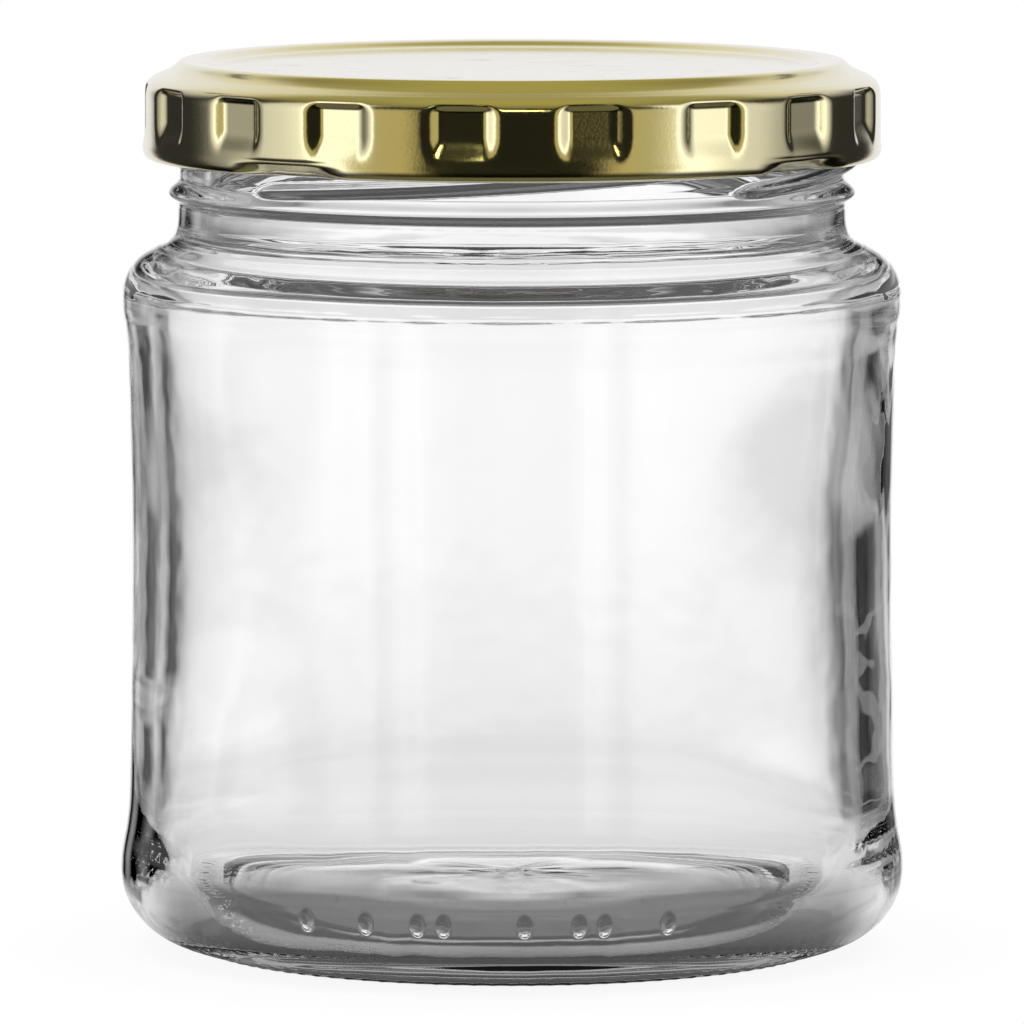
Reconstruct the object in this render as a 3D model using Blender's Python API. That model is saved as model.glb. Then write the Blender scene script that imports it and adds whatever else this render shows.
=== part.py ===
"""Round glass food jar with a one-piece twist-off lug lid.

The jar stands on Z = 0 with its axis on +Z. Sizes are in millimetres and the
meshes are built in metres:

  glass_jar    - pressed and blown glass: heel, waisted body, shoulder, neck,
                 transfer bead, finish wall with four interrupted threads
  lid_shell    - drawn tinplate: recessed panel, sealing channel, shouldered
                 skirt with eighteen grip dimples, curled hem with four lugs
  lid_gasket   - flowed-in sealing ring that sits in the lid's channel

The lid pieces hang from the empty lid_axis, on the jar's axis at the crown.
Azimuths are in degrees from the front (-Y) towards +X. A section is a list of
(radius, z) points around the solid part of a piece, on one side of the axis.
"""

import math

import bmesh
import bpy
from mathutils import Matrix, Vector

MM = 0.001
SHARP_ANGLE = 40.0           # edges that bend more than this are shaded sharp
GAP = 0.3                    # clearance between pieces that rest on each other

# ---- glass body ----------------------------------------------------------
JAR_SEGMENTS = 60
HEEL_RADIUS = 42.73          # widest point of the heel
HEEL_Z = 8.7                 # height of that widest point
HEEL_CORNER = 8.03           # radius of the heel's corner arc
BEARING_OUTER = 34.1         # the flat ring the jar stands on
BEARING_INNER = 31.6
PUSH_UP = 2.9                # rise of the hollow under the base
WAIST_RADIUS = 41.4
WAIST_Z = 47.0
SHOULDER_RADIUS = 42.46
SHOULDER_Z = 70.4
NECK_RADIUS = 36.3
NECK_Z = 79.6
RIM_Z = 95.2                 # top of the glass, under the gasket
RIM_CORNER = 1.3             # radius of the rim's outer corner
BORE_RADIUS = 32.9           # inside of the mouth
BORE_BOTTOM_Z = 85.5         # lower end of the straight bore
INNER_WALL = 37.7            # inside radius of the body
FLOOR_Z = 6.1                # inside floor at the axis

# ---- neck finish ---------------------------------------------------------
FINISH_RADIUS = 36.15        # plain wall between the threads
BEAD_RADIUS = 37.35          # transfer bead under the lid
BEAD_Z = 82.45
BEAD_HALF = 1.25             # half the bead's height
THREAD_COUNT = 4
THREAD_STATIONS = 24         # steps along each thread
THREAD_LEAD = 14.0           # rise per full turn
THREAD_CREST = 37.9
THREAD_ROOT = 35.45          # buried inside the wall, so that the union bites
THREAD_SUNK_CREST = THREAD_ROOT + 0.6    # crest radius at a thread's two ends
THREAD_HEIGHT = 1.4
THREAD_START = -48.5         # azimuth of the first thread's low end
THREAD_SPAN = 114.0          # angle each thread covers
THREAD_FADE = 7.0            # angle over which an end sinks into the wall
THREAD_Z0 = 85.15            # height of the first thread's underside at azimuth 0

# Outside of the body from heel to bead.
# Columns: radius, z, spline steps from the previous point.
BODY_OUTLINE = [
    (HEEL_RADIUS, HEEL_Z, 0),
    (HEEL_RADIUS - 0.35, HEEL_Z + 3.3, 1),
    (HEEL_RADIUS - 0.93, HEEL_Z + 7.9, 1),
    (WAIST_RADIUS + 0.2, 30.0, 1),
    (WAIST_RADIUS, WAIST_Z, 1),
    (WAIST_RADIUS + 0.3, 61.5, 1),
    (SHOULDER_RADIUS - 0.3, SHOULDER_Z - 2.4, 1),
    (SHOULDER_RADIUS, SHOULDER_Z + 0.4, 1),
    (SHOULDER_RADIUS - 0.7, SHOULDER_Z + 3.6, 2),
    (SHOULDER_RADIUS - 2.0, SHOULDER_Z + 5.1, 1),
    (SHOULDER_RADIUS - 5.0, SHOULDER_Z + 6.65, 2),
    (NECK_RADIUS + 0.22, SHOULDER_Z + 7.9, 2),
    (NECK_RADIUS, NECK_Z, 1),
    (NECK_RADIUS, BEAD_Z - BEAD_HALF, 1),
]

# Inside of the glass from the bore down to the floor; columns as above.
CAVITY_OUTLINE = [
    (BORE_RADIUS, BORE_BOTTOM_Z, 0),
    (BORE_RADIUS + 0.25, 80.8, 1),
    (BORE_RADIUS + 1.7, 77.3, 1),
    (INNER_WALL - 1.2, 74.2, 1),
    (INNER_WALL + 0.35, 70.0, 1),
    (INNER_WALL, 58.0, 1),
    (INNER_WALL - 0.15, 30.0, 1),
    (INNER_WALL - 0.2, 15.0, 1),
    (INNER_WALL - 1.9, 9.4, 2),
    (INNER_WALL - 6.2, 6.4, 1),
    (22.0, FLOOR_Z - 0.5, 1),
]

# ---- lid (heights in its sections are from the crown, negative downwards) --
LID_TOP_Z = 97.0             # crown of the sealing channel
LID_RADIUS = 40.15           # skirt
SHEET = 0.3                  # thickness of the tinplate
PANEL_Z = -1.0               # top of the recessed panel
DIMPLE_COUNT = 18
DIMPLE_AZIMUTH = 52.4        # one dimple is centred here
DIMPLE_DEPTH = 0.9
DIMPLE_FLOOR = 3.45          # half angle of a dimple's flat floor
DIMPLE_HALF = 6.0            # half angle where its side walls meet the skirt
LUG_COUNT = 4
LUG_AZIMUTH = DIMPLE_AZIMUTH  # one lug lies under that dimple
LUG_HALF = 11.7              # half angle of a lug where it leaves the hem
LUG_FLAT = 5.0               # half angle over which it has its full reach
HEM_BOTTOM = -10.8           # hem's lowest edge

# Curl of the hem, from the outside round to the inside.
# Columns: plain hem's radius from the skirt, its z, the same two for a lug.
HEM_OUTLINE = [
    (0.0, -9.4, -0.4, -9.35),
    (-0.1, -10.2, -1.3, -10.15),
    (-0.4, -10.65, -2.1, -10.66),
    (-0.9, HEM_BOTTOM, -2.9, HEM_BOTTOM),
    (-1.35, -10.65, -3.45, HEM_BOTTOM + 0.05),
    (-1.6, -10.2, -3.45, -10.52),
    (-1.5, -9.7, -2.0, -10.5),
    (-1.0, -9.25, -1.0, -9.6),
]

GASKET_SEGMENTS = 60


# ---- curves and meshes ---------------------------------------------------

def clear_scene():
    for obj in list(bpy.data.objects):
        bpy.data.objects.remove(obj, do_unlink=True)


def smoothstep(low, high, x):
    t = min(1.0, max(0.0, (x - low) / (high - low)))
    return t * t * (3.0 - 2.0 * t)


def mix(start, end, fraction):
    return start + (end - start) * fraction


def azimuth_point(radius, azimuth, z):
    """Point in metres from cylindrical coordinates in millimetres."""
    angle = math.radians(azimuth)
    return Vector((radius * math.sin(angle), -radius * math.cos(angle), z)) * MM


def catmull_rom(before, start, end, after, t):
    """Value at t of the curve that runs from start (t = 0) to end (t = 1)."""
    return 0.5 * (2 * start + (end - before) * t
                  + (2 * before - 5 * start + 4 * end - after) * t * t
                  + (3 * start - before - 3 * end + after) * t ** 3)


def spline(outline):
    """Points of the curve through an outline, without its first point."""
    points = [row[:2] for row in outline]
    last = len(points) - 1
    curve = []
    for i in range(last):
        controls = (points[max(i - 1, 0)], points[i], points[i + 1], points[min(i + 2, last)])
        steps = outline[i + 1][2]
        for k in range(1, steps + 1):
            curve.append(tuple(catmull_rom(*values, k / steps) for values in zip(*controls)))
    return curve


def arc(centre_radius, centre_z, reach, start, end, steps, stretch=1.0):
    """Points of an arc; angles in degrees, 0 outwards and 90 up.

    reach is the arc's own radius, and stretch scales its height.
    """
    points = []
    for k in range(steps + 1):
        angle = math.radians(mix(start, end, k / steps))
        points.append((centre_radius + reach * math.cos(angle),
                       centre_z + reach * stretch * math.sin(angle)))
    return points


def mesh_from(name, bm):
    """Turn the normals outwards and move the bmesh into a new mesh."""
    bmesh.ops.recalc_face_normals(bm, faces=bm.faces)
    mesh = bpy.data.meshes.new(name)
    bm.to_mesh(mesh)
    bm.free()
    return mesh


def join_columns(name, azimuths, sections, poles):
    """Join one section per azimuth into a closed mesh around the axis.

    With poles, the first and last points of the sections lie on the axis and
    are single vertices; without, each section is a closed loop.
    """
    bm = bmesh.new()
    if poles:
        first_pole, last_pole = (bm.verts.new(azimuth_point(0.0, 0.0, sections[0][end][1]))
                                 for end in (0, -1))
        sections = [section[1:-1] for section in sections]
    columns = [[bm.verts.new(azimuth_point(radius, azimuth, z)) for radius, z in section]
               for azimuth, section in zip(azimuths, sections)]
    for i, here in enumerate(columns):
        there = columns[(i + 1) % len(columns)]
        for j in range(len(here) - 1):
            bm.faces.new((here[j], there[j], there[j + 1], here[j + 1]))
        if poles:
            bm.faces.new((first_pole, there[0], here[0]))
            bm.faces.new((here[-1], there[-1], last_pole))
        else:
            bm.faces.new((here[-1], there[-1], there[0], here[0]))
    return mesh_from(name, bm)


def revolve(name, section, segments, poles):
    """Turn one section about the axis."""
    azimuths = [360.0 * i / segments for i in range(segments)]
    return join_columns(name, azimuths, [section] * segments, poles)


def add_object(name, mesh, collection):
    obj = bpy.data.objects.new(name, mesh)
    collection.objects.link(obj)
    mesh.shade_smooth()
    mesh.set_sharp_from_angle(angle=math.radians(SHARP_ANGLE))
    return obj


# ---- materials -----------------------------------------------------------

def material(name, colour, roughness, metallic=0.0, transmission=0.0, ior=1.5):
    mat = bpy.data.materials.new(name)
    mat.use_nodes = True
    inputs = mat.node_tree.nodes["Principled BSDF"].inputs
    inputs["Base Color"].default_value = (*colour, 1.0)
    inputs["Roughness"].default_value = roughness
    inputs["Metallic"].default_value = metallic
    inputs["Transmission Weight"].default_value = transmission
    inputs["IOR"].default_value = ior
    mat.diffuse_color = (*colour, 1.0)
    return mat


def clear_glass():
    return material("clear_glass", colour=(0.93, 0.95, 0.94), roughness=0.03,
                    transmission=1.0, ior=1.52)


def gold_tinplate():
    return material("gold_lacquered_tinplate", colour=(0.62, 0.47, 0.18), roughness=0.32,
                    metallic=1.0)


def plastisol():
    return material("plastisol_seal", colour=(0.82, 0.79, 0.72), roughness=0.55)


# ---- glass jar -----------------------------------------------------------

def jar_section():
    """Section of the glass: up the outside, over the rim, down the inside."""
    base = [
        (0.0, PUSH_UP),
        (20.0, PUSH_UP - 0.6),
        (28.5, 0.9),
        (BEARING_INNER, 0.0),
        (BEARING_OUTER, 0.0),
    ]
    heel = arc(HEEL_RADIUS - HEEL_CORNER, HEEL_Z, HEEL_CORNER, start=-80.0, end=0.0, steps=6)
    bead_reach = BEAD_RADIUS - FINISH_RADIUS
    bead = arc(FINISH_RADIUS, BEAD_Z, bead_reach, start=-60.0, end=75.0, steps=4,
               stretch=BEAD_HALF / bead_reach)
    finish_wall = [
        (FINISH_RADIUS, BEAD_Z + BEAD_HALF + 0.15),
        (FINISH_RADIUS, RIM_Z - RIM_CORNER),
    ]
    rim = arc(FINISH_RADIUS - RIM_CORNER, RIM_Z - RIM_CORNER, RIM_CORNER,
              start=30.0, end=90.0, steps=2)
    mouth = [
        (BORE_RADIUS + 0.9, RIM_Z),
        (BORE_RADIUS + 0.2, RIM_Z - 0.35),
        (BORE_RADIUS, RIM_Z - 1.1),
        (BORE_RADIUS, BORE_BOTTOM_Z),
    ]
    return (base + heel + spline(BODY_OUTLINE) + bead + finish_wall + rim
            + mouth + spline(CAVITY_OUTLINE) + [(0.0, FLOOR_Z)])


def thread_mesh(name, start):
    """One interrupted thread: a short right-hand helix with faded ends."""
    start_z = THREAD_Z0 + THREAD_LEAD * THREAD_START / 360.0
    bm = bmesh.new()
    rings = []
    for k in range(THREAD_STATIONS + 1):
        along = THREAD_SPAN * k / THREAD_STATIONS
        rise = (smoothstep(0.0, THREAD_FADE, along)
                * smoothstep(0.0, THREAD_FADE, THREAD_SPAN - along))
        crest = mix(THREAD_SUNK_CREST, THREAD_CREST, math.sqrt(rise))
        z = start_z + THREAD_LEAD * along / 360.0
        section = [
            (THREAD_ROOT, z + 0.05),
            (crest - 0.45, z),
            (crest, z + 0.4),
            (crest, z + 0.85),
            (crest - 0.5, z + THREAD_HEIGHT - 0.05),
            (THREAD_ROOT, z + THREAD_HEIGHT + 0.35),
        ]
        rings.append([bm.verts.new(azimuth_point(radius, start + along, height))
                      for radius, height in section])
    for here, there in zip(rings, rings[1:]):
        for j in range(len(here)):
            k = (j + 1) % len(here)
            bm.faces.new((here[j], there[j], there[k], here[k]))
    end_caps = [bm.faces.new(rings[0]), bm.faces.new(rings[-1])]
    bmesh.ops.triangulate(bm, faces=end_caps)
    return mesh_from(name, bm)


def add_thread(jar, index, collection):
    """Join a thread to the jar by a union with a hidden helper."""
    name = f"thread_form_{index + 1}"
    start = THREAD_START + index * 360.0 / THREAD_COUNT
    form = add_object(name, thread_mesh(name, start), collection)
    form.hide_render = True
    form.hide_set(True)
    form.display_type = "WIRE"
    union = jar.modifiers.new(f"thread_{index + 1}", "BOOLEAN")
    union.operation = "UNION"
    union.solver = "EXACT"
    union.object = form


def build_jar(collection):
    mesh = revolve("glass_jar", jar_section(), JAR_SEGMENTS, poles=True)
    jar = add_object("glass_jar", mesh, collection)
    for index in range(THREAD_COUNT):
        add_thread(jar, index, collection)
    jar.data.materials.append(clear_glass())


# ---- lid -----------------------------------------------------------------

def feature_weight(azimuth, first, count, flat, half):
    """1 within flat degrees of the nearest of count evenly spaced features,
    falling to 0 at half degrees from it."""
    pitch = 360.0 / count
    offset = (azimuth - first + pitch / 2.0) % pitch - pitch / 2.0
    return 1.0 - smoothstep(flat, half, abs(offset))


def lid_section(azimuth):
    """Section of the sheet: from the panel's centre out, down the skirt, round
    the hem and back up the inside."""
    dent = DIMPLE_DEPTH * feature_weight(
        azimuth, DIMPLE_AZIMUTH, DIMPLE_COUNT, DIMPLE_FLOOR, DIMPLE_HALF)
    lug = feature_weight(azimuth, LUG_AZIMUTH, LUG_COUNT, LUG_FLAT, LUG_HALF)
    # a lug takes on its full height profile before it has its full reach
    lug_height = min(1.0, 2.0 * lug)
    outer = LID_RADIUS
    inner = LID_RADIUS - SHEET

    top = [
        (0.0, PANEL_Z), (32.3, PANEL_Z), (33.6, -0.1), (34.2, 0.0),
        (35.8, 0.0), (36.5, -0.6), (37.35, -1.17), (38.45, -1.68),
        (39.4 - 0.35 * dent, -2.2 - 0.1 * dent),
        (outer - 0.2 - 0.7 * dent, -2.75 - 0.1 * dent),
    ]
    skirt = [(outer - dent, -3.6), (outer - dent, -5.9), (outer - 0.45 * dent, -7.1),
             (outer, -8.3)]
    hem = [(outer + mix(plain_offset, lug_offset, lug), mix(plain_z, lug_z, lug_height))
           for plain_offset, plain_z, lug_offset, lug_z in HEM_OUTLINE]
    skirt_inside = [(inner, -8.35), (inner - 0.45 * dent, -7.15), (inner - dent, -5.95),
                    (inner - dent, -3.75)]
    underside = [
        (inner - 0.25 - 0.6 * dent, -2.95),
        (39.15 - 0.3 * dent, -2.45 - 0.1 * dent),
        (38.25, -1.96), (37.15, -1.45), (36.3, -0.86), (35.65, -SHEET),
        (34.25, -SHEET), (33.8, -0.4), (32.4, PANEL_Z - SHEET), (0.0, PANEL_Z - SHEET),
    ]
    return top + skirt + hem + skirt_inside + underside


def build_lid(collection):
    # a column on each edge of each dimple's floor and side walls
    azimuths = [DIMPLE_AZIMUTH + 360.0 * i / DIMPLE_COUNT + edge
                for i in range(DIMPLE_COUNT)
                for edge in (-DIMPLE_HALF, -DIMPLE_FLOOR, DIMPLE_FLOOR, DIMPLE_HALF)]
    sections = [lid_section(azimuth) for azimuth in azimuths]
    mesh = join_columns("lid_shell", azimuths, sections, poles=True)
    lid = add_object("lid_shell", mesh, collection)
    lid.data.materials.append(gold_tinplate())
    return lid


def gasket_section():
    """Flat-bottomed ring that follows the channel above it, a gap below the sheet."""
    face = RIM_Z + GAP - LID_TOP_Z
    top = -SHEET - GAP
    return [
        (34.1, face), (34.0, face + 0.25), (34.0, -0.95), (34.45, top),
        (35.5, top), (36.1, -1.1), (36.75, face + 0.1), (36.6, face),
    ]


def build_gasket(collection):
    mesh = revolve("lid_gasket", gasket_section(), GASKET_SEGMENTS, poles=False)
    ring = add_object("lid_gasket", mesh, collection)
    ring.data.materials.append(plastisol())
    return ring


def main():
    clear_scene()
    collection = bpy.context.scene.collection
    build_jar(collection)
    axis = bpy.data.objects.new("lid_axis", None)
    axis.location = (0.0, 0.0, LID_TOP_Z * MM)
    collection.objects.link(axis)
    for piece in (build_lid(collection), build_gasket(collection)):
        piece.parent = axis
        piece.matrix_parent_inverse = Matrix.Identity(4)


main()
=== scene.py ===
"""Looks for a glass jar with a twist-off lug lid.

The jar stands on z = 0 with its axis on z. Meshes are laid out in millimetres. Azimuths are in
degrees from the front (-Y, where the camera stands), positive towards +X, the camera's right.
"""

import math

import bpy
import numpy as np
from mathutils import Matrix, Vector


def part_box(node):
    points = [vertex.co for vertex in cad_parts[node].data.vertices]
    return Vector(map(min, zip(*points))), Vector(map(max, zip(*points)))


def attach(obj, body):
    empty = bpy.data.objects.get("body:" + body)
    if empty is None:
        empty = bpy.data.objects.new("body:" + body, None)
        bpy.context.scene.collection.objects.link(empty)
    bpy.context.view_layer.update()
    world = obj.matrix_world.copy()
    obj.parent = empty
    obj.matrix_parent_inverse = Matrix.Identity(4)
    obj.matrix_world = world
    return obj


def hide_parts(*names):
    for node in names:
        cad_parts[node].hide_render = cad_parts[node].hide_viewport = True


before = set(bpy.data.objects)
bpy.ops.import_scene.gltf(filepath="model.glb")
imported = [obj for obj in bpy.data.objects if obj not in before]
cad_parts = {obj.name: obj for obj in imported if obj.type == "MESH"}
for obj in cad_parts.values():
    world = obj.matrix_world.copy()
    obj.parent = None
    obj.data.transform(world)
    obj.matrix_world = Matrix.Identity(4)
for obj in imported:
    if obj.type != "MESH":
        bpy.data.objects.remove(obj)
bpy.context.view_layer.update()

MM = 0.001
JAR_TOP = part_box("glass_jar")[1]
LID_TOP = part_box("lid_shell")[1]
RIM_Z = float(JAR_TOP[2]) / MM
CROWN_Z = float(LID_TOP[2]) / MM
HEEL_R = float(JAR_TOP[0]) / MM


# ---------------------------------------------------------------- helpers

def smoothstep(low, high, x):
    t = np.clip((np.asarray(x, float) - low) / (high - low), 0.0, 1.0)
    return t * t * (3.0 - 2.0 * t)


def smooth_min(a, b, length):
    """Minimum with the corner between the two rounded over a length."""
    blend = np.clip(0.5 + 0.5 * (b - a) / length, 0.0, 1.0)
    return b + (a - b) * blend - length * blend * (1.0 - blend)


def smooth_max(a, b, length):
    return -smooth_min(-a, -b, length)


def wrap(angle, centre=0.0, period=360.0):
    """Signed angle from the nearest of the centres repeated every period."""
    return (np.asarray(angle, float) - centre + period / 2.0) % period - period / 2.0


def monotone(xs, ys):
    """Monotone cubic through stations: no overshoot between them."""
    xs, ys = np.asarray(xs, float), np.asarray(ys, float)
    gaps = np.diff(xs)
    chords = np.diff(ys) / gaps
    slopes = np.zeros(len(xs))
    slopes[0], slopes[-1] = chords[0], chords[-1]
    for i in range(1, len(xs) - 1):
        if chords[i - 1] * chords[i] > 0:
            before, after = 2 * gaps[i] + gaps[i - 1], gaps[i] + 2 * gaps[i - 1]
            slopes[i] = (before + after) / (before / chords[i - 1] + after / chords[i])

    def value(x):
        x = np.clip(np.asarray(x, float), xs[0], xs[-1])
        i = np.clip(np.searchsorted(xs, x) - 1, 0, len(gaps) - 1)
        t = (x - xs[i]) / gaps[i]
        return ((2 * t**3 - 3 * t**2 + 1) * ys[i] + (t**3 - 2 * t**2 + t) * gaps[i] * slopes[i]
                + (-2 * t**3 + 3 * t**2) * ys[i + 1] + (t**3 - t**2) * gaps[i] * slopes[i + 1])
    return value


def resample(points, step):
    """Even, dense copy of an (r, z) polyline: monotone cubics over its length."""
    points = np.asarray(points, float)
    along = np.concatenate([[0], np.cumsum(np.hypot(*np.diff(points, axis=0).T))])
    count = max(2, int(round(along[-1] / step)))
    stations = np.linspace(0, along[-1], count + 1)
    return np.stack([monotone(along, points[:, k])(stations) for k in (0, 1)], axis=1)


def catmull_rom(points, step):
    """Catmull-Rom curve through (r, z) points, cut into pieces of about one length."""
    p = np.asarray(points, float)
    p = np.vstack([2 * p[0] - p[1], p, 2 * p[-1] - p[-2]])
    out = []
    for i in range(1, len(p) - 2):
        count = max(1, int(round(np.hypot(*(p[i + 1] - p[i])) / step)))
        for t in np.arange(count) / count:
            out.append(0.5 * (2 * p[i] + (p[i + 1] - p[i - 1]) * t
                              + (2 * p[i - 1] - 5 * p[i] + 4 * p[i + 1] - p[i + 2]) * t * t
                              + (3 * p[i] - p[i - 1] - 3 * p[i + 1] + p[i + 2]) * t ** 3))
    out.append(p[-2])
    return np.array(out)


def unit_tangents(path):
    tangents = np.gradient(path, axis=0)
    return tangents / np.hypot(*tangents.T)[:, None]


def azimuths(step):
    count = int(round(360.0 / step))
    return np.arange(count) * (360.0 / count) - 180.0


def azimuths_with(step, centres, half, fine):
    """Even columns of one step, with finer ones around each centre."""
    columns = list(azimuths(step))
    for centre in centres:
        columns = [x for x in columns if abs(wrap(x, centre)) > half + 0.45 * step]
        columns += list(wrap(centre + np.arange(-half, half + fine / 2, fine)))
    return np.array(sorted(set(round(float(x), 5) for x in columns)))


class Skin:
    """A closed surface of stacked rings, from one point on the axis to another or back to the
    start."""

    def __init__(self):
        self.points, self.quads, self.tris, self.count, self.last = [], [], [], 0, None

    def _push(self, points):
        first = self.count
        self.points.append(points)
        self.count += len(points)
        return np.arange(first, self.count)

    def pole(self, z):
        ids = self._push(np.array([[0.0, 0.0, z]]))
        if self.last is not None:
            rim = self.last[0]
            for j in range(len(rim)):
                self.tris.append((rim[j], rim[(j + 1) % len(rim)], ids[0]))
        self.last = (ids, None)

    def ring(self, az, r, z):
        az = np.asarray(az, float)
        angle = np.radians(az)
        r = np.broadcast_to(r, az.shape)
        z = np.broadcast_to(z, az.shape)
        ids = self._push(np.stack([r * np.sin(angle), -r * np.cos(angle), z], axis=1))
        if self.last is not None:
            self._join(self.last, (ids, az))
        self.last = (ids, az)
        return self.last

    def _join(self, low, high):
        """Quads between rings with the same columns, otherwise triangles."""
        a, a_az = low
        b, b_az = high
        a_count, b_count = len(a), len(b)
        if a_az is None:
            for j in range(b_count):
                self.tris.append((a[0], b[(j + 1) % b_count], b[j]))
            return
        if a_count == b_count and np.allclose(a_az, b_az):
            self.quads.append(np.stack([a, np.roll(a, -1), np.roll(b, -1), b], axis=1))
            return
        a_az = np.append(a_az, a_az[0] + 360.0)
        b_az = np.append(b_az, b_az[0] + 360.0)
        i = j = 0
        while i < a_count or j < b_count:
            if j >= b_count or (i < a_count and a_az[i + 1] <= b_az[j + 1]):
                self.tris.append((a[i % a_count], a[(i + 1) % a_count], b[j % b_count]))
                i += 1
            else:
                self.tris.append((a[i % a_count], b[(j + 1) % b_count], b[j % b_count]))
                j += 1

    def close(self, first):
        self._join(self.last, first)

    def object(self, name):
        points = np.concatenate(self.points) * MM
        quads = np.concatenate(self.quads)
        tris = np.array(self.tris, int).reshape(-1, 3)
        loops = np.concatenate([quads.ravel(), tris.ravel()])
        starts = np.concatenate([np.arange(len(quads)) * 4,
                                 len(quads) * 4 + np.arange(len(tris)) * 3])
        mesh = bpy.data.meshes.new(name)
        mesh.vertices.add(len(points))
        mesh.vertices.foreach_set("co", points.astype(np.float32).ravel())
        mesh.loops.add(len(loops))
        mesh.loops.foreach_set("vertex_index", loops.astype(np.int32))
        mesh.polygons.add(len(starts))
        mesh.polygons.foreach_set("loop_start", starts.astype(np.int32))
        mesh.update(calc_edges=True)
        mesh.validate()
        mesh.shade_smooth()
        obj = bpy.data.objects.new(name, mesh)
        bpy.context.scene.collection.objects.link(obj)
        return obj


# ---------------------------------------------------------------- unevenness

rng = np.random.default_rng(11)


def wave_table(turns, count, tilt):
    """Random waves: (waves per turn, phase, phase per mm of height, weight)."""
    columns = (rng.integers(*turns, count), rng.uniform(0, 6.28, count),
               rng.uniform(-tilt, tilt, count), rng.uniform(0.3, 1.0, count))
    return [(int(k), float(p), float(q), float(w)) for k, p, q, w in zip(*columns)]


SLOW_WAVES = wave_table(turns=(2, 9), count=10, tilt=0.09)
FINE_WAVES = wave_table(turns=(11, 60), count=22, tilt=0.8)


def waves(az, z, table=SLOW_WAVES):
    angle = np.radians(az)
    total = sum(weight for *_, weight in table)
    return sum(weight * np.sin(turns * angle + phase + tilt * z)
               for turns, phase, tilt, weight in table) / total * 2.0


# ---------------------------------------------------------------- glass jar

HEEL_CORNER = 8.03          # radius of the heel's corner
HEEL_Z = 8.7                # height of the corner's centre
CORNER_R = HEEL_R - HEEL_CORNER
NECK_R = 36.30
FINISH_R = 36.15
BEAD_R = 37.35
BEAD_HEIGHT = 1.2           # peak of BEAD_FORM
RIM_ROUND = 1.3
BORE_R = 32.9

THREAD_COUNT = 4
THREAD_CREST = 37.9
THREAD_LEAD = 14.0          # rise per turn
THREAD_START = -48.5
THREAD_SPAN = 114.0         # degrees
THREAD_Z0 = 85.15           # thread's foot at the front
THREAD_PEAK = 1.75          # peak of THREAD_FORM

DOTS = (-30.8, -21.4, -13.6, -9.8, 1.8, 9.6, 13.3, 22.9)  # lens-shaped dots on the heel
DOT_Z = 7.55
DOT_HALF_WIDTH = 0.80
DOT_HALF_HEIGHT = 1.2
DOT_HEIGHT = 0.5
KNURLS = 104

WALL = 3.3                  # wall thickness at the front and back
WALL_TOP = 72.0             # top of the side walls' thickness stations
INNER_CORNER_Z = 11.25      # where the inside wall turns into the floor
INNER_CORNER = (6.0, 7.65)  # width and height of that turn

COARSE_AZ = azimuths(2.0)
KNURL_AZ = azimuths(360.0 / (5 * KNURLS))
DOT_AZ = azimuths_with(step=1.8, centres=DOTS, half=1.6, fine=0.2)
BODY_AZ = azimuths(1.8)
FINISH_AZ = azimuths(1.2)

# height above the thread's foot -> how far it stands out
THREAD_FORM = monotone([-0.2, 0.0, 0.3, 0.7, 1.05, 1.25, 1.42, 1.58, 1.72, 1.9],
                       [0.0, 0.06, 0.6, 1.25, 1.62, 1.75, 1.5, 0.8, 0.2, 0.0])
# z -> how far the neck bead stands out
BEAD_FORM = monotone([81.55, 81.8, 82.05, 82.3, 82.55, 82.9, 83.3, 83.7, 84.05],
                     [0.0, 0.2, 0.72, 1.07, 1.2, 1.06, 0.66, 0.25, 0.0])
# z -> outer radius, heel to neck
BODY_R = monotone(
    [8.7, 10.2, 11.8, 13.6, 16.4, 21.0, 27.0, 36.0, 48.0, 55.5, 61.5, 66.0, 68.5, 70.4, 72.0,
     73.1, 74.2, 75.3, 76.4, 77.2, 78.2, 79.5, 81.0],
    [42.73, 42.66, 42.41, 42.08, 41.80, 41.67, 41.58, 41.46, 41.42, 41.55, 41.70, 41.88, 42.15,
     42.42, 42.36, 42.12, 41.62, 40.66, 38.95, 37.35, 36.62, 36.36, 36.30])
# z -> wall thickness on the two sides: blown walls are never even
LEFT_WALL = monotone(
    [12, 16, 21, 26, 28, 30, 33, 47, 51, 54, 58, 61, 65, 68.5, 72],
    [2.45, 2.40, 2.38, 2.48, 2.60, 2.76, 2.80, 2.77, 2.70, 2.62, 2.54, 2.50, 2.52, 2.60, 2.72])
RIGHT_WALL = monotone(
    [12, 16, 21, 28, 33, 38, 47, 51, 54, 58, 61, 65, 68.5, 72],
    [3.3, 3.38, 3.54, 3.60, 3.66, 3.73, 3.68, 3.54, 3.36, 3.20, 3.12, 3.08, 3.08, 3.12])
# r -> z of the hollow under the base, and of the floor inside
UNDERSIDE = monotone([0, 8, 14, 20, 25, 28.5, 30.6, 31.6, 32.1, 33.4],
                     [2.71, 2.64, 2.41, 2.01, 1.43, 0.776, 0.298, 0.079, 0.011, 0.0])
FLOOR = monotone([0, 10, 20, 26, 29.5, 31.6, 35.6], [5.45, 5.17, 4.45, 4.10, 4.09, 4.09, 5.59])
# (r, z) of the inside from the mouth down: neck, shoulder ledge and the turn into the wall
NECK_INSIDE = [
    (32.9, 84.9), (32.95, 83.5), (33.1, 81.5), (33.35, 79.5), (33.65, 78.2), (34.2, 77.1),
    (34.9, 76.2), (35.6, 75.4), (36.35, 74.6), (36.85, 74.15), (37.65, 73.68), (38.5, 73.2),
    (38.86, 72.85), (38.97, 72.2), (39.05, 71.2), (39.05, 70.2), (38.88, 68.6), (38.6, 66.2),
    (38.52, 65.0)]
# (r, depth below the rim), over the rim and into the bore
MOUTH = [(33.9, 0.0), (33.5, 0.05), (33.2, 0.2), (33.0, 0.5), (32.92, 0.9), (BORE_R, 1.5)]
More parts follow.
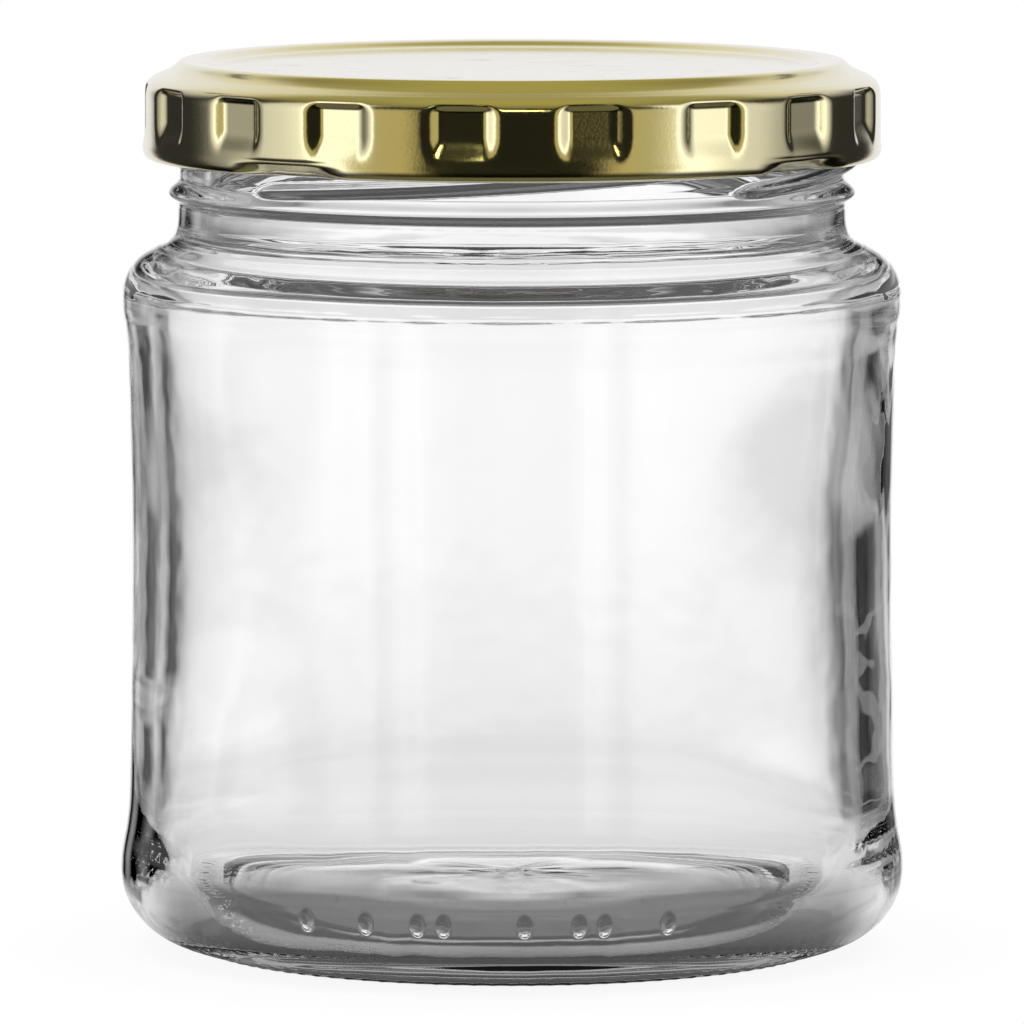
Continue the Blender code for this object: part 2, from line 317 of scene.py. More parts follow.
# (azimuth, inward height, half width) of shallow vertical folds inside
FOLDS = ((-18.2, 0.10, 1.6), (14.7, 0.08, 1.4), (163.0, 0.06, 2.0), (-160.0, 0.05, 2.2))
# (azimuth, relative height) of small lumps on the inner ledge
LUMPS = ((-37.8, 0.5), (-3.9, 0.35), (32.8, 0.45), (118.0, 0.4), (-150.0, 0.4))


def thread_lift(az, z):
    """How far the finish wall stands out at a thread: a right-hand helix with a long lower
    flank and a short rounded top."""
    out = np.zeros(np.broadcast(az, z).shape)
    base = THREAD_Z0 + THREAD_LEAD * THREAD_START / 360.0
    for k in range(THREAD_COUNT):
        along = np.mod(az - (THREAD_START + 360.0 / THREAD_COUNT * k), 360.0)
        ends = np.sqrt(smoothstep(0.0, 5.0, along) * smoothstep(0.0, 9.0, THREAD_SPAN - along))
        foot = base + THREAD_LEAD * along / 360.0
        form = THREAD_FORM((z - foot - 0.45 * (1.0 - ends)) / np.maximum(0.35 + 0.65 * ends, 0.35))
        out = np.maximum(out, np.where(along <= THREAD_SPAN, ends * form, 0.0))
    return out * (THREAD_CREST - FINISH_R) / THREAD_PEAK


def side_gain(az, z):
    """What the inside radius gains on the sides, where the wall is not WALL thick."""
    across = np.sin(np.radians(az))
    weight = smoothstep(0.5, 0.86, np.abs(across))
    return (WALL - np.where(across < 0, LEFT_WALL(z), RIGHT_WALL(z))) * weight


def inside_body(az, z):
    weight = smoothstep(0.5, 0.86, np.abs(np.sin(np.radians(az))))
    # the wall stays straight inside while the heel flares outside
    straight_z = 16.0 + 2.5 * math.log1p(math.exp((z - 16.0) / 2.5))
    r = BODY_R(straight_z) - WALL + side_gain(az, z)
    r = r + (0.02 + 0.02 * weight) * waves(az, z)
    # a rough patch high on the right
    patch = np.exp(-(wrap(az, 76.0) / 22.0) ** 2) * np.exp(-((z - 61.0) / 8.0) ** 2)
    r = r + 0.035 * patch * waves(az * 2.0, z * 1.6, FINE_WAVES)
    for centre, height, half in FOLDS:
        drift = 0.6 * math.sin(centre) * np.sin(z * 0.05 + centre)
        r = r - height * np.exp(-(wrap(az, centre + drift) / half) ** 2)
    return r


def add_base(skin):
    """Hollow under the base, out to the bearing ring."""
    skin.pole(UNDERSIDE(0.0))
    for r in (2.5, 5, 8, 11, 14, 17, 20, 22.5, 25, 27, 28.5, 29.6):
        skin.ring(COARSE_AZ, r, float(UNDERSIDE(r)) + 0.03 * waves(COARSE_AZ, r))
    for r in (30.4, 31.0, 31.5, 31.9, 32.3):
        skin.ring(KNURL_AZ, r, float(UNDERSIDE(r)))


def add_heel(skin):
    """Knurled bearing ring, a fainter second row, and the heel's corner with its dots."""
    heel = [(33.0, 0.0), (33.6, 0.03), (34.2, 0.12), (35.0, 0.42)]
    heel += [(CORNER_R + HEEL_CORNER * math.cos(t), HEEL_Z + HEEL_CORNER * math.sin(t))
             for t in np.radians(np.linspace(-75, -22, 15))]
    path = resample(heel, 0.37)
    angle = np.radians(KNURL_AZ)
    for (r, z), (tangent_r, tangent_z) in zip(path, unit_tangents(path)):
        row1 = smoothstep(33.1, 33.9, r) * (1.0 - smoothstep(35.6, 36.4, r))
        row2 = smoothstep(36.6, 37.1, r) * (1.0 - smoothstep(37.9, 38.5, r))
        bump = 0.08 * row1 * np.clip(np.cos(KNURLS * angle), -0.2, 1.0)
        bump = bump + 0.03 * row2 * np.clip(np.cos(KNURLS * angle + 1.5), -0.1, 1.0)
        bump = bump * (0.75 + 0.25 * waves(KNURL_AZ, r * 3, FINE_WAVES))
        lift = -0.08 * row1 - 0.03 * row2 + bump
        skin.ring(KNURL_AZ, r + tangent_z * lift, np.maximum(z - tangent_r * lift, 0.0))

    for z in np.arange(6.0, 9.2, 0.16):
        if z < HEEL_Z:
            r = CORNER_R + math.sqrt(HEEL_CORNER ** 2 - (HEEL_Z - z) ** 2)
        else:
            r = float(BODY_R(z))
        lift = np.zeros(len(DOT_AZ))
        for centre in DOTS:
            spread = ((np.radians(wrap(DOT_AZ, centre)) * r / DOT_HALF_WIDTH) ** 2
                      + ((z - DOT_Z) / DOT_HALF_HEIGHT) ** 2)
            lift = np.maximum(lift, DOT_HEIGHT * np.clip(1.0 - spread, 0.0, 1.0) ** 0.6)
        skin.ring(DOT_AZ, r + lift, z)


def add_body(skin):
    for z in np.concatenate([np.arange(9.6, 17, 0.75), np.arange(17.3, 64, 1.3),
                             np.arange(64.6, 73, 0.6), np.arange(73.2, 81.0, 0.33)]):
        skin.ring(BODY_AZ, BODY_R(z) + 0.012 * waves(BODY_AZ, z), z)


def add_finish(skin):
    """Neck bead, threads and rim."""
    for z in np.concatenate([np.arange(81.05, 83.9, 0.16), np.arange(83.95, 89.6, 0.135),
                             np.arange(89.9, 93.8, 0.6)]):
        r = NECK_R + (FINISH_R - NECK_R) * smoothstep(81.0, 84.2, z)
        bead = (BEAD_R - r) * BEAD_FORM(z) / BEAD_HEIGHT
        skin.ring(FINISH_AZ, r + np.maximum(bead, thread_lift(FINISH_AZ, z)), z)
    for t in np.radians(np.linspace(0, 90, 9)):
        skin.ring(BODY_AZ, FINISH_R - RIM_ROUND + RIM_ROUND * math.cos(t),
                  RIM_Z - RIM_ROUND + RIM_ROUND * math.sin(t))
    for r, depth in MOUTH:
        skin.ring(BODY_AZ, r, RIM_Z - depth)


def add_inside_neck(skin):
    """Bore, neck and shoulder; lift is measured into the glass."""
    for z in np.arange(93.0, 85.4, -1.2):
        skin.ring(BODY_AZ, BORE_R + 0.03 * waves(BODY_AZ, z), z)
    path = catmull_rom(NECK_INSIDE, 0.245)
    for (r, z), (tangent_r, tangent_z) in zip(path, unit_tangents(path)):
        # wrinkles between the neck and the shoulder
        fold = math.exp(-((z - 77.0) / 1.35) ** 2)
        lift = (0.030 * fold * waves(BODY_AZ, z * 9.0, FINE_WAVES)
                + 0.035 * fold * np.sin(z * 7.0 + 1.5 * waves(BODY_AZ, z)))
        lift = lift + 0.03 * waves(BODY_AZ, z)
        # a fine raised line under the shoulder
        line = 71.75 + 0.07 * waves(BODY_AZ, 3.0, FINE_WAVES)
        lift = lift - (0.20 * np.exp(-((z - line) / 0.24) ** 2)
                       * np.clip(0.7 + 0.6 * waves(BODY_AZ, 40.0, FINE_WAVES), 0.1, 1.2))
        for centre, height in LUMPS:
            lift = lift - (0.07 * height * np.exp(-(wrap(BODY_AZ, centre) / 0.9) ** 2)
                           * math.exp(-((z - 73.6) / 0.32) ** 2))
        r = r + side_gain(BODY_AZ, min(z, WALL_TOP)) * float(smoothstep(77.0, 72.5, z))
        blend = float(smoothstep(WALL_TOP, 65.0, z))
        r = r * (1 - blend) + inside_body(BODY_AZ, z) * blend
        skin.ring(BODY_AZ, r - tangent_z * lift, z + tangent_r * lift)


def add_inside_body(skin):
    """Walls, the turn at their foot, and the floor."""
    for z in np.arange(64.0, 11.7, -1.5):
        skin.ring(BODY_AZ, inside_body(BODY_AZ, z), z)
    wall_r = inside_body(BODY_AZ, INNER_CORNER_Z)
    width, height = INNER_CORNER
    for t in np.radians(np.linspace(8, 62, 10)):
        skin.ring(BODY_AZ, wall_r - width + width * np.cos(t),
                  INNER_CORNER_Z - height * math.sin(t) + 0.05 * waves(BODY_AZ, 3 * t))
    for r in (33.5, 31.6, 30.4, 29, 27.5, 26, 24, 22, 20, 17.5, 15, 12.5, 10, 7.5, 5, 2.5):
        skin.ring(COARSE_AZ, r, float(FLOOR(r)) + 0.10 * waves(COARSE_AZ, r))
    skin.pole(float(FLOOR(0.0)))


def build_jar():
    skin = Skin()
    for add_part in (add_base, add_heel, add_body, add_finish, add_inside_neck, add_inside_body):
        add_part(skin)
    return skin.object("jar_glass")


# ---------------------------------------------------------------- lid
# Heights z in this section are from the crown, negative downwards.

LID_R = 40.15
SHEET = 0.3
PANEL_Z = -0.72
PANEL_INNER_Z = -1.3
CORNER_BLEND = 0.22         # rounding between a dimple and the skirt
DIMPLE_AZ = 52.4
DIMPLE_PITCH = 20.0
DIMPLE_DEPTH = 1.0
DIMPLE_FLAT = 3.45          # half width of the dimple's flat floor, degrees
LUG_AZ = DIMPLE_AZ          # one lug is in line with a dimple
LUG_PITCH = 90.0
LUG_HALF = 11.8             # degrees
HEM_Z = -10.65

# (r, z): recess wall, crown of the channel and riser
RIDGE = [
    (31.2, -0.72), (31.7, -0.72), (32.1, -0.68), (32.5, -0.57), (32.9, -0.4), (33.3, -0.22),
    (33.65, -0.09), (34.0, -0.02), (34.4, 0.0), (35.3, 0.0), (35.75, -0.03), (36.05, -0.13),
    (36.3, -0.32), (36.6, -0.6), (36.95, -0.88), (37.25, -1.08), (37.6, -1.25), (38.0, -1.42),
    (38.45, -1.62)]
# (r, z): shoulder and skirt
SKIRT = [
    (38.55, -1.66), (38.9, -1.83), (39.3, -2.08), (39.65, -2.4), (39.92, -2.8), (40.07, -3.2),
    (LID_R, -3.7), (LID_R, -9.0)]
# (inset from LID_R, z) of the rolled hem between lugs, and of the same points at a lug
HEM_PLAIN = [
    (0.0, -9.2), (0.0, -9.5), (0.02, -9.8), (0.10, -10.1), (0.26, -10.36), (0.5, -10.55),
    (0.85, HEM_Z), (1.2, -10.58), (1.48, -10.38), (1.62, -10.08), (1.6, -9.78), (1.42, -9.5),
    (1.1, -9.32), (0.7, -9.25)]
HEM_LUG = [
    (0.22, -9.12), (0.55, -9.38), (1.0, -9.76), (1.45, -10.12), (1.9, -10.4), (2.35, -10.58),
    (2.8, HEM_Z), (3.2, HEM_Z), (3.45, -10.58), (3.48, -10.46), (3.2, -10.42), (2.5, -10.38),
    (1.6, -10.0), (0.8, -9.35)]
# (r, z): inner skin from the hem up to the channel, then on to the panel
SKIRT_INNER = [
    (LID_R - SHEET, -8.7), (LID_R - SHEET, -3.75), (39.78, -3.25), (39.6, -2.88),
    (39.35, -2.58), (39.0, -2.35), (38.4, -2.02), (37.7, -1.7), (37.1, -1.42), (36.6, -1.05),
    (36.2, -0.68), (35.8, -0.4), (35.3, -0.3)]
CHANNEL_INNER = [
    (34.4, -0.3), (34.0, -0.33), (33.65, -0.48), (33.35, -0.75), (33.0, -1.05), (32.6, -1.24),
    (32.1, PANEL_INNER_Z), (30.5, PANEL_INNER_Z)]


def dimple_depth(az, z):
    """Depth of the grip dimples: flat floor, straight sloping sides, rounded top, long soft
    bottom."""
    offset = np.abs(wrap(az, DIMPLE_AZ, DIMPLE_PITCH))
    u = np.maximum(offset - DIMPLE_FLAT, 0.0) / 2.2
    v = np.maximum(np.maximum(-5.75 - z, 0.0) / 3.3, np.maximum(z + 3.3, 0.0) / 1.5)
    reach = np.sqrt(u * u + v * v)
    side = smooth_min(smooth_max(1.0 - reach, 0.0, 0.42), 1.0, 0.07)
    side = side * (1.0 - smoothstep(1.0, 1.3, reach))
    soft = 1.0 - smoothstep(0.0, 1.05, reach)
    upright = np.clip(v * v / np.maximum(u * u + v * v, 1e-6), 0.0, 1.0)
    flat = ((LID_R - DIMPLE_DEPTH)
            * (1.0 / np.cos(np.radians(np.minimum(offset, DIMPLE_FLAT))) - 1.0))
    return (DIMPLE_DEPTH - flat) * (side * (1 - upright) + soft * upright)


def dimpled(az, r, z, sheet=0.0):
    """Radius of the skirt once the dimples are pressed in."""
    return LID_R - smooth_max(LID_R - r, dimple_depth(az, z) + sheet, CORNER_BLEND)


def lug_form(az):
    """How far the hem is pressed in towards a lug's tip, and the arch its crease follows."""
    offset = np.abs(wrap(az, LUG_AZ, LUG_PITCH))
    return (1.0 - smoothstep(3.5, LUG_HALF, offset),
            np.clip(1.0 - (offset / LUG_HALF) ** 2, 0.0, 1.0))


def build_lid():
    skin = Skin()
    one = azimuths(1.0)
    fine = azimuths(0.5)

    skin.pole(CROWN_Z + PANEL_Z)
    for r in (4, 9, 14, 19, 24, 28, 30.5):
        skin.ring(COARSE_AZ, r, CROWN_Z + PANEL_Z)
    for r, z in resample(RIDGE, 0.2):
        skin.ring(one, r, CROWN_Z + z)

    press, arch = lug_form(fine)
    for r, z in resample(SKIRT, 0.17):
        pull = press * 0.22 * smoothstep(-8.6, -9.1, z)
        skin.ring(fine, dimpled(fine, r, z) - pull, CROWN_Z + z)
    for (inset, z), (lug_inset, lug_z) in zip(HEM_PLAIN, HEM_LUG):
        r, lug_r = LID_R - inset, LID_R - lug_inset
        skin.ring(fine, r + (lug_r - r) * press, CROWN_Z + z + (lug_z - z) * (arch ** 0.8))

    for r, z in resample(SKIRT_INNER, 0.45):
        skin.ring(one, dimpled(one, r, z, SHEET), CROWN_Z + z)
    for r, z in CHANNEL_INNER:
        skin.ring(one, r, CROWN_Z + z)
    for r in (26, 20, 13, 6):
        skin.ring(COARSE_AZ, r, CROWN_Z + PANEL_INNER_Z)
    skin.pole(CROWN_Z + PANEL_INNER_Z)
    return skin.object("lid_tinplate")


# ---------------------------------------------------------------- seal

SEAL_Z = RIM_Z + 0.05
# (r, z from SEAL_Z) of the underside, outwards
SEAL_UNDER = [
    (33.7, 0.42), (33.85, 0.18), (34.1, 0.05), (34.5, 0.0), (35.0, -0.02), (35.5, 0.0),
    (36.0, 0.02), (36.5, 0.06), (36.9, 0.16)]
# (r, z from the crown) of the top, inwards
SEAL_OVER = [
    (36.75, -1.35), (36.4, -1.05), (36.0, -0.72), (35.6, -0.46), (35.1, -0.36), (34.5, -0.36),
    (34.1, -0.4), (33.8, -0.6), (33.7, -0.95)]


def build_seal():
    skin = Skin()
    az = azimuths(1.5)
    section = [(r, SEAL_Z + z) for r, z in SEAL_UNDER] + [(r, CROWN_Z + z) for r, z in SEAL_OVER]
    rings = [skin.ring(az, r, z + 0.01 * waves(az, z)) for r, z in section]
    skin.close(rings[0])
    return skin.object("seal_ring")


# ---------------------------------------------------------------- shader nodes

def rgba(colour):
    """Opaque colour from a grey or an rgb tuple; a socket passes through."""
    if isinstance(colour, (int, float)):
        return (colour, colour, colour, 1.0)
    return (*colour, 1.0) if isinstance(colour, tuple) else colour


class Nodes:
    def __init__(self, tree):
        self.tree = tree
        tree.nodes.clear()

    def add(self, kind, inputs=None, **settings):
        """New node; each input takes a value or a socket to link from."""
        node = self.tree.nodes.new(kind)
        for key, value in settings.items():
            setattr(node, key, value)
        for key, value in (inputs or {}).items():
            if isinstance(value, bpy.types.NodeSocket):
                self.tree.links.new(value, node.inputs[key])
            else:
                node.inputs[key].default_value = value
        return node

    def math(self, op, a, b=0.0):
        return self.add("ShaderNodeMath", {0: a, 1: b}, operation=op).outputs[0]

    def times(self, a, b):
        return self.math("MULTIPLY", a, b)

    def step(self, x, low, high):
        """Smooth 0 to 1 as x runs from low to high, which may be the smaller."""
        flip = low > high
        return self.add("ShaderNodeMapRange", {
            "From Min": min(low, high), "From Max": max(low, high),
            "To Min": 1.0 if flip else 0.0, "To Max": 0.0 if flip else 1.0, "Value": x,
        }, interpolation_type="SMOOTHSTEP", clamp=True).outputs["Result"]

    def window(self, x, rise, fall):
        """One between the rise and the fall, each given as (from, to)."""
        return self.times(self.step(x, *rise), self.step(x, *fall))

    def ramp(self, x, stops, low, high, mode="LINEAR"):
        """Colour ramp over x in low..high; stops are (x, grey or rgb)."""
        span = self.add("ShaderNodeMapRange", {"From Min": low, "From Max": high, "Value": x},
                        clamp=True)
        node = self.add("ShaderNodeValToRGB", {"Fac": span.outputs["Result"]})
        node.color_ramp.interpolation = mode
        elements = node.color_ramp.elements
        for i, (place, colour) in enumerate(stops):
            t = (place - low) / (high - low)
            element = elements[i] if i < 2 else elements.new(t)
            element.position = t
            element.color = rgba(colour)
        return node.outputs["Color"]

    def mix(self, fac, a, b, blend="MIX"):
        return self.add("ShaderNodeMix", {0: fac, 6: rgba(a), 7: rgba(b)}, data_type="RGBA",
                        blend_type=blend, clamp_factor=True).outputs[2]

    def mix_shader(self, fac, a, b):
        return self.add("ShaderNodeMixShader", {0: fac, 1: a, 2: b}).outputs[0]

    def position(self):
        return self.add("ShaderNodeTexCoord").outputs["Object"]

    def split(self, vector):
        return self.add("ShaderNodeSeparateXYZ", {0: vector}).outputs

    def noise(self, vector, scale, detail, distortion=0.0):
        return self.add("ShaderNodeTexNoise", {
            "Vector": vector, "Scale": scale, "Detail": detail, "Distortion": distortion,
        }).outputs["Fac"]

    def bump(self, height, strength, distance):
        return self.add("ShaderNodeBump", {
            "Strength": strength, "Distance": distance, "Height": height}).outputs["Normal"]

    def principled(self, inputs):
        return self.add("ShaderNodeBsdfPrincipled", inputs).outputs["BSDF"]

    def surface(self, shader):
        self.add("ShaderNodeOutputMaterial", {"Surface": shader})


def new_material(name):
    mat = bpy.data.materials.new(name)
    mat.use_nodes = True
    return mat, Nodes(mat.node_tree)


# ---------------------------------------------------------------- materials (metres)

def glass_material():
    mat, n = new_material("clear_flint_glass")
    # faint unevenness of a blown surface
    slow = n.noise(n.position(), scale=90.0, detail=2.0)
    n.surface(n.principled({
        "Base Color": rgba(1.0), "Transmission Weight": 1.0, "IOR": 1.52, "Roughness": 0.0,
        "Normal": n.bump(slow, strength=0.12, distance=0.0004)}))
    return mat


def gold_material():
    mat, n = new_material("gold_lacquer_on_tinplate")
    pos = n.position()
    grain = n.noise(pos, scale=3200.0, detail=3.0)
    cloud = n.noise(pos, scale=70.0, detail=4.0)
    # rubbed scuffs on the flat panel: stretched noise, kept inside the channel
    stretch = n.add("ShaderNodeMapping", {
        "Scale": (1.0, 3.5, 1.0), "Rotation": (0.0, 0.0, 0.5), "Vector": pos})
    rub = n.noise(stretch.outputs["Vector"], scale=130.0, detail=7.0, distortion=1.2)
    x, y, z = n.split(pos)
    radial = n.math("SQRT", n.math("ADD", n.times(x, x), n.times(y, y)))
    panel = n.times(n.step(radial, low=0.0325, high=0.0315), n.step(z, low=0.094, high=0.0955))
    scuff = n.times(n.step(rub, low=0.60, high=0.74), panel)
    gold = n.ramp(cloud, [(0.3, (0.79, 0.72, 0.44)), (0.7, (0.82, 0.755, 0.48))], low=0.0, high=1.0)
    worn = (0.50, 0.44, 0.33)
    rough = n.ramp(grain, [(0.35, 0.115), (0.65, 0.165)], low=0.0, high=1.0)
    metal = n.principled({
        "Base Color": n.mix(n.times(scuff, 0.45), gold, worn), "Metallic": 1.0,
        "Roughness": n.math("ADD", rough, n.times(scuff, 0.22)),
        "Coat Weight": 0.35, "Coat Roughness": 0.06,
        "Normal": n.bump(grain, strength=0.3, distance=0.00002)})
    # seen through the glass the lid's inside is in deep, colourless shade
    shade = n.add("ShaderNodeEmission", {"Color": rgba(1.0), "Strength": 0.085}).outputs[0]
    path = n.add("ShaderNodeLightPath")
    n.surface(n.mix_shader(path.outputs["Is Singular Ray"], metal, shade))
    return mat


def seal_material():
    mat, n = new_material("plastisol")
    noise = n.noise(n.position(), scale=300.0, detail=5.0)
    colour = n.ramp(noise, [(0.3, (0.74, 0.71, 0.63)), (0.7, (0.82, 0.79, 0.72))], low=0.0, high=1.0)
    n.surface(n.principled({
        "Base Color": colour, "Roughness": 0.5, "Subsurface Weight": 0.15,
        "Subsurface Radius": (0.002, 0.0015, 0.001),
        "Normal": n.bump(noise, strength=0.3, distance=0.0001)}))
    return mat


# (distance from the axis, grey) of the table's painted shade, which it gives off as glow: a faint
# painted contact shadow to the camera, and painted shadow and painted light through the glass on the
# far and near sides of the axis
TABLE_SEEN = [(0.030, 0.90), (0.036, 0.93), (0.044, 0.98), (0.060, 1.0)]
TABLE_FAR = [
    (0.0, 0.88), (0.009, 0.94), (0.012, 0.74), (0.016, 0.58), (0.019, 0.68), (0.022, 0.90),
    (0.036, 0.94), (0.042, 0.88), (0.052, 0.78), (0.080, 0.78)]
TABLE_NEAR = [
    (0.0, 0.85), (0.004, 0.50), (0.008, 0.16), (0.013, 0.24), (0.017, 0.13), (0.029, 0.08),
    (0.036, 0.06), (0.042, 0.14), (0.046, 0.40), (0.052, 0.68), (0.058, 0.50), (0.066, 0.30),
    (0.080, 0.20)]


def floor_material():
    """Pale seamless table: white to the eye with a faint painted contact shadow, painted shade under
    and around the jar as the glass shows it, and out of the way of the lid's reflections."""
    mat, n = new_material("pale_table")
    pos = n.position()
    radius = n.add("ShaderNodeVectorMath", {0: pos}, operation="LENGTH").outputs["Value"]
    seen = n.ramp(radius, TABLE_SEEN, low=0.0, high=0.1, mode="EASE")
    far = n.ramp(radius, TABLE_FAR, low=0.0, high=0.1)
    near = n.ramp(radius, TABLE_NEAR, low=0.0, high=0.1)
    # -1 towards the camera, +1 away from it
    bearing = n.math("DIVIDE", n.split(pos)[1], n.math("MAXIMUM", radius, 0.001))
    table = n.mix(n.step(bearing, low=-0.35, high=0.35), near, far)
    path = n.add("ShaderNodeLightPath").outputs
    camera = path["Is Camera Ray"]
    # the table glows with this painted shadow and painted light instead of being lit
    emit = n.add("ShaderNodeEmission", {"Color": n.mix(camera, table, seen)}).outputs[0]
    clear = n.add("ShaderNodeBsdfTransparent").outputs[0]
    close = n.times(path["Is Singular Ray"], n.step(radius, low=0.085, high=0.055))
    n.surface(n.mix_shader(n.math("MAXIMUM", camera, close), clear, emit))
    return mat


# ---------------------------------------------------------------- studio
# Directions in degrees as the camera sees them: az is 0 ahead and + to the right, side is its
# size, el is + upwards.

# What the glass sees: (side, grey) of the backdrop and the dark flags on each side
LEFT_FLAGS = [
    (0, 1.02), (0.8, 1.02), (2, 1.10), (3, 1.08), (5, 1.05), (9, 1.03), (11, 0.90), (13, 0.45),
    (14.2, 0.02), (17, 0.02), (18.6, 0.25), (20, 0.48), (22, 0.62), (24, 0.58), (26, 0.33),
    (27.6, 0.0), (33, 0.0), (35.5, 0.16), (37.5, 0.42), (39.5, 0.74), (42.5, 0.80), (44.2, 0.30),
    (46, 0.0), (52, 0.03), (54.5, 0.35), (58, 0.60), (60, 0.30), (66, 0.24), (100, 0.26),
    (126, 0.22), (150, 0.25), (180, 0.28)]
RIGHT_FLAGS = [
    (0, 1.02), (0.8, 1.02), (2, 1.10), (3, 1.08), (5, 1.05), (10, 1.03), (12, 0.86), (14, 0.42),
    (15.5, 0.12), (17, 0.10), (19, 0.22), (22, 0.20), (26, 0.12), (28, 0.05), (34, 0.012),
    (37, 0.05), (40, 0.06), (43, 0.0), (53, 0.0), (56, 0.25), (58.5, 0.34), (61, 0.10),
    (66, 0.11), (100, 0.12), (126, 0.14), (150, 0.25), (180, 0.28)]
# (el, grey): a factor on everything below, and the dim room above
GLASS_SWEEP = [
    (-60, 0.54), (-46, 0.52), (-38, 0.30), (-34, 0.12), (-30, 0.38), (-26, 0.60), (-22, 0.79),
    (-18, 0.93), (-14, 1.0), (-11, 0.97), (-9.4, 0.82), (-6, 0.78), (-4.5, 0.79), (-3.6, 0.80),
    (-2.6, 0.79), (-1.6, 0.79), (-1.3, 0.83), (-0.92, 0.88), (-0.54, 0.91), (-0.16, 0.97),
    (0.6, 1.0), (3, 1.0)]
GLASS_ROOM = [
    (6, 0.98), (8, 0.85), (10.5, 0.50), (12.5, 0.08), (15, 0.04), (20, 0.05), (22.5, 0.16),
    (25, 0.50), (28.5, 0.50), (32, 0.10), (39, 0.07), (46, 0.04), (51, 0.36), (57, 0.78),
    (63, 0.66), (69, 0.55), (75, 0.30), (81, 0.12), (90, 0.06)]

# What the lid sees: (side, colour) around the horizon and (el, grey) of its fade downwards
DARK = (0.016, 0.0165, 0.0105)
LID_LEVEL = [
    (0, 1.0), (18, 0.95), (26, 0.03), (60, 0.03), (66, 0.06), (72, 0.24), (80, 0.37),
    (88, 0.50), (95, 0.78), (105, 0.88), (113, 1.22), (119, 1.50), (125, 1.46),
    (129, (0.74, 0.68, 0.46)), (136, (0.50, 0.455, 0.26)), (147, (0.56, 0.48, 0.22)),
    (151, (0.24, 0.21, 0.11)), (154.5, DARK), (180, DARK)]
LID_LOW = [(-90, 0.07), (-42, 0.07), (-30, 0.13), (-21, 0.55), (-15, 1.0), (0, 1.0)]
# (el, colour) ahead of the camera and behind it
ZENITH = (0.43, 0.39, 0.135)
LID_AHEAD = [
    (-90, (0.10, 0.09, 0.06)), (-50, (0.25, 0.22, 0.14)), (-20, (0.72, 0.69, 0.62)),
    (-5, (0.89, 0.90, 0.95)), (0, (0.90, 0.91, 0.97)), (30, (0.90, 0.91, 0.97)),
    (40, (0.84, 0.82, 0.73)), (47, (0.78, 0.74, 0.60)), (56, (0.39, 0.35, 0.165)),
    (80, ZENITH), (90, ZENITH)]
LID_BEHIND = [
    (-90, (0.05, 0.045, 0.03)), (0, 0.03), (24, (0.025, 0.025, 0.016)),
    (42, (0.035, 0.032, 0.02)), (56, (0.27, 0.24, 0.11)), (68, (0.36, 0.325, 0.13)),
    (80, ZENITH), (90, ZENITH)]
LID_KEY = (4.2, 4.0, 1.8)
LID_GROUND = (0.15, 0.145, 0.08)


def glass_view(n, az, el, side):
    left = n.ramp(side, LEFT_FLAGS, low=0, high=180)
    right = n.ramp(side, RIGHT_FLAGS, low=0, high=180)
    view = n.mix(n.math("GREATER_THAN", az, 0.0), left, right)
    # a dim strip standing among the flags on the right
    strip = n.times(n.window(el, rise=(-0.5, -0.3), fall=(0.15, 0.0)),
                    n.window(az, rise=(14.0, 18.0), fall=(47.0, 43.0)))
    view = n.mix(n.times(strip, 0.75), view, 0.30)
    # the flags are short: above and below them the room is grey
    beyond = n.step(n.math("ABSOLUTE", el), low=2.2, high=4.5)
    view = n.mix(n.times(beyond, n.step(side, low=11.0, high=16.0)), view, 0.42)
    sweep = n.ramp(el, GLASS_SWEEP, low=-60, high=3)
    below = n.times(n.step(el, low=-3.5, high=-8.0), n.step(side, low=17.0, high=24.0))
    view = n.mix(n.times(below, 0.85), view, 0.55)
    view = n.mix(1.0, view, sweep, "MULTIPLY")
    room = n.ramp(el, GLASS_ROOM, low=6, high=90)
    room = n.mix(n.times(n.step(side, low=18.0, high=30.0), 0.8), room, 0.45)
    above = n.times(n.step(el, low=6.0, high=7.5), n.step(side, low=135.0, high=110.0))
    return n.mix(above, view, room)


def lid_view(n, el, side):
    level = n.ramp(side, LID_LEVEL, low=0, high=180)
    level = n.mix(1.0, level, n.ramp(el, LID_LOW, low=-90, high=0), "MULTIPLY")
    ahead = n.ramp(el, LID_AHEAD, low=-90, high=90)
    behind = n.ramp(el, LID_BEHIND, low=-90, high=90)
    high = n.mix(n.step(side, low=72.0, high=34.0), behind, ahead)
    # the softboxes at the sides reach higher than the rest of the horizon
    soft = n.window(side, rise=(84.0, 96.0), fall=(131.0, 123.0))
    reach = n.mix(soft, n.step(el, low=40.0, high=16.0), n.step(el, low=58.0, high=40.0))
    view = n.mix(reach, high, level)
    front = n.times(n.step(side, low=34.0, high=24.0), n.step(el, low=-60.0, high=-30.0))
    view = n.mix(front, view, ahead)
    # the key, above and behind the camera
    key = n.times(n.window(side, rise=(168.5, 171.5), fall=(191.5, 188.5)),
                  n.window(el, rise=(22.5, 25.5), fall=(34.5, 31.5)))
    view = n.mix(key, view, LID_KEY)
    view = n.mix(n.step(el, low=-44.0, high=-56.0), view, LID_GROUND)
    # a small dark patch high on each side ahead
    patch = n.times(n.window(side, rise=(34.5, 37.5), fall=(43.5, 40.5)),
                    n.window(el, rise=(36.0, 39.0), fall=(44.0, 41.0)))
    return n.mix(patch, view, 0.02)


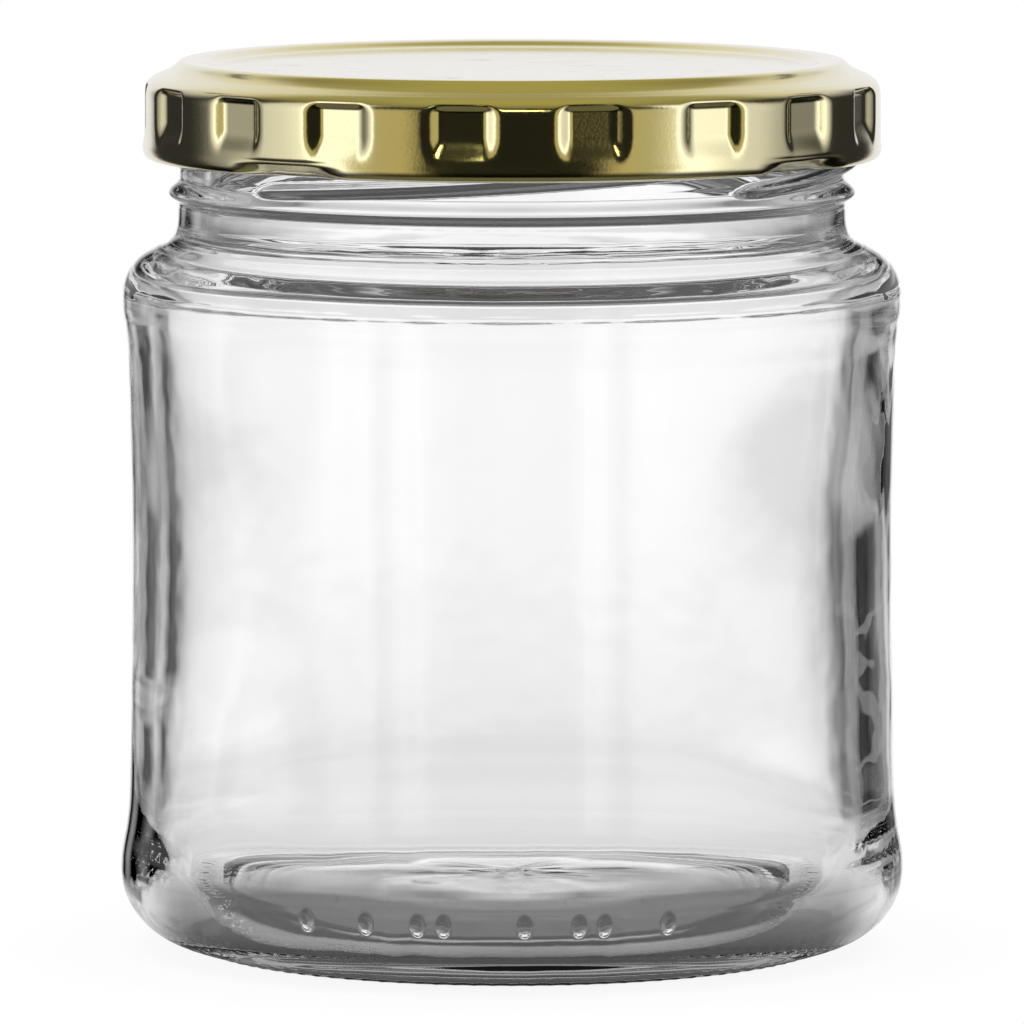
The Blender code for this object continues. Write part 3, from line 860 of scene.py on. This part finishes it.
def studio_world():
    """Bright-field studio that turns with the camera: one view for the glass, one for the satin
    metal, and plain white for the camera itself."""
    world = bpy.data.worlds.new("bright_field_studio")
    bpy.context.scene.world = world
    world.use_nodes = True
    n = Nodes(world.node_tree)
    x, y, z = n.split(n.add("ShaderNodeTexCoord").outputs["Camera"])
    degrees = 57.29578      # per radian
    az = n.times(n.math("ARCTAN2", x, z), degrees)
    el = n.times(n.math("ARCSINE", y), degrees)
    side = n.math("ABSOLUTE", az)
    glass = glass_view(n, az, el, side)
    lid = lid_view(n, el, side)
    path = n.add("ShaderNodeLightPath").outputs
    colour = n.mix(path["Is Singular Ray"], lid, glass)
    colour = n.mix(path["Is Camera Ray"], colour, 1.0)
    back = n.add("ShaderNodeBackground", {"Color": colour})
    n.add("ShaderNodeOutputWorld", {"Surface": back.outputs[0]})


def build_camera():
    """Long lens in front, a little above the lid and tilted down."""
    tilt = 0.10108          # radians below the horizontal
    data = bpy.data.cameras.new("camera")
    data.sensor_width = 36.0
    data.lens = 421.03125
    data.clip_start = 0.05
    data.clip_end = 50.0
    cam = bpy.data.objects.new("camera", data)
    cam.location = (0.0, -1.3, 0.17935)
    cam.rotation_euler = (math.radians(90.0) - tilt, 0.0, 0.0)
    bpy.context.scene.collection.objects.link(cam)
    bpy.context.scene.camera = cam


# ---------------------------------------------------------------- put together

jar = build_jar()
jar.data.materials.append(glass_material())
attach(jar, "jar")
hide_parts("glass_jar")

lid = build_lid()
lid.data.materials.append(gold_material())
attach(lid, "lid")
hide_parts("lid_shell")

seal = build_seal()
seal.data.materials.append(seal_material())
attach(seal, "seal")
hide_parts("lid_gasket")

bpy.ops.mesh.primitive_plane_add(size=6.0, location=(0.0, 0.0, -0.0002))
table = bpy.context.active_object
table.name = "pale_table"
table.data.materials.append(floor_material())

studio_world()
build_camera()

scene = bpy.context.scene
scene.view_settings.view_transform = "Standard"
scene.cycles.max_bounces = 32
scene.cycles.transmission_bounces = 28
scene.cycles.glossy_bounces = 10
scene.cycles.transparent_max_bounces = 32
